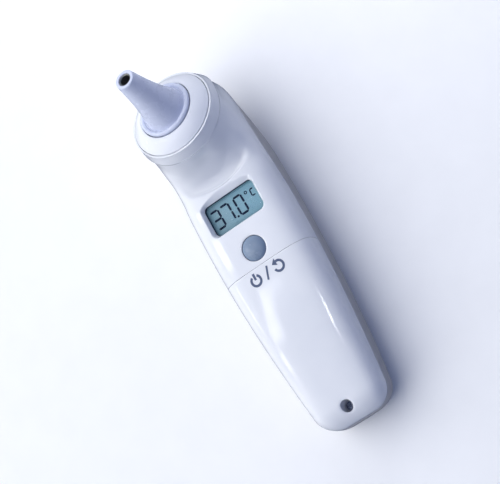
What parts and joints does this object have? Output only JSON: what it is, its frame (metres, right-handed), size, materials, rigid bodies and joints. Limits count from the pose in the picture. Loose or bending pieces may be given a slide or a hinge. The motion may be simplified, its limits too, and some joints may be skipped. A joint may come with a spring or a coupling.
{
  "type": "infrared ear thermometer",
  "caption": "Hand-held infrared ear thermometer with a leaning conical probe, a recessed digit display, power and scan buttons and a screwed battery cover.",
  "frame": {"origin": "on the surface that it rests on, under the middle of the object's box", "axes": "+X to the user's right when the display is read, +Y up the handle toward the head, +Z out of the display"},
  "size_m": [0.0392, 0.1491, 0.0644],
  "materials": {
    "front_housing": "glossy moulded plastic, cool white",
    "rear_housing": "glossy moulded plastic, cool white",
    "battery_cover": "glossy moulded plastic, cool white",
    "cover_screw": "dark plated steel",
    "housing_screws": "plated steel",
    "nose_ring": "glossy moulded plastic, white",
    "probe_cone": "satin moulded plastic, slate lavender",
    "waveguide_tube": "gold plated tube",
    "tip_window": "dark infrared window",
    "sensor_holder": "turned",
    "thermopile_sensor": "nickel plated can",
    "sensor_board": "green solder resist",
    "sensor_ribbon": "polyimide ribbon",
    "display_window": "clear acrylic",
    "lcd_panel": "reflective liquid crystal cell",
    "lcd_frame": "white moulded plastic",
    "lcd_connector_strips": "zebra strip rubber",
    "main_board": "green solder resist",
    "microcontroller": "black epoxy",
    "board_components": "ceramic and metal parts",
    "power_button": "satin slate blue plastic",
    "power_switch": "black plastic",
    "scan_button": "satin slate blue plastic",
    "scan_switch": "black plastic",
    "battery_tray": "moulded plastic",
    "left_cell": "printed sleeve over a steel can",
    "right_cell": "printed sleeve over a steel can",
    "bridge_plate": "nickel plated steel",
    "terminal_plates": "nickel plated steel",
    "battery_springs": "nickel plated spring wire",
    "buzzer": "brass disc"
  },
  "bodies": {
    "housing": {"front_housing": "front_housing", "rear_housing": "rear_housing", "housing_screws": "housing_screws", "nose_ring": "nose_ring", "probe_cone": "probe_cone", "waveguide_tube": "waveguide_tube", "tip_window": "tip_window", "sensor_holder": "sensor_holder", "thermopile_sensor": "thermopile_sensor", "sensor_board": "sensor_board", "sensor_ribbon": "sensor_ribbon", "display_window": "display_window", "lcd_panel": "lcd_panel", "lcd_frame": "lcd_frame", "lcd_connector_strips": "lcd_connector_strips", "main_board": "main_board", "microcontroller": "microcontroller", "board_components": "board_components", "power_switch": "power_switch", "scan_switch": "scan_switch", "battery_tray": "battery_tray", "left_cell": "left_cell", "right_cell": "right_cell", "bridge_plate": "bridge_plate", "terminal_plates": "terminal_plates", "battery_springs": "battery_springs", "buzzer": "buzzer"},
    "cover": {"battery_cover": "battery_cover"},
    "cover_screw": {"cover_screw": "cover_screw"},
    "power_button": {"power_button": "power_button"},
    "scan_button": {"scan_button": "scan_button"}
  },
  "joints": [
    {"name": "cover_lift", "type": "slide", "parent": "housing", "child": "cover", "axis": [0, 0, 1], "range_m": [0, 0.02]},
    {"name": "cover_screw_turn", "type": "hinge", "parent": "cover", "child": "cover_screw", "pos_m": [0, -0.06865, 0.015], "axis": [0, 0, 1], "continuous": true},
    {"name": "power_press", "type": "slide", "parent": "housing", "child": "power_button", "axis": [0, 0, -1], "range_m": [0, 0.0008], "stiffness_N_per_m": 900},
    {"name": "scan_press", "type": "slide", "parent": "housing", "child": "scan_button", "axis": [0, -0.309, 0.9511], "range_m": [0, 0.001], "stiffness_N_per_m": 900}
  ]
}
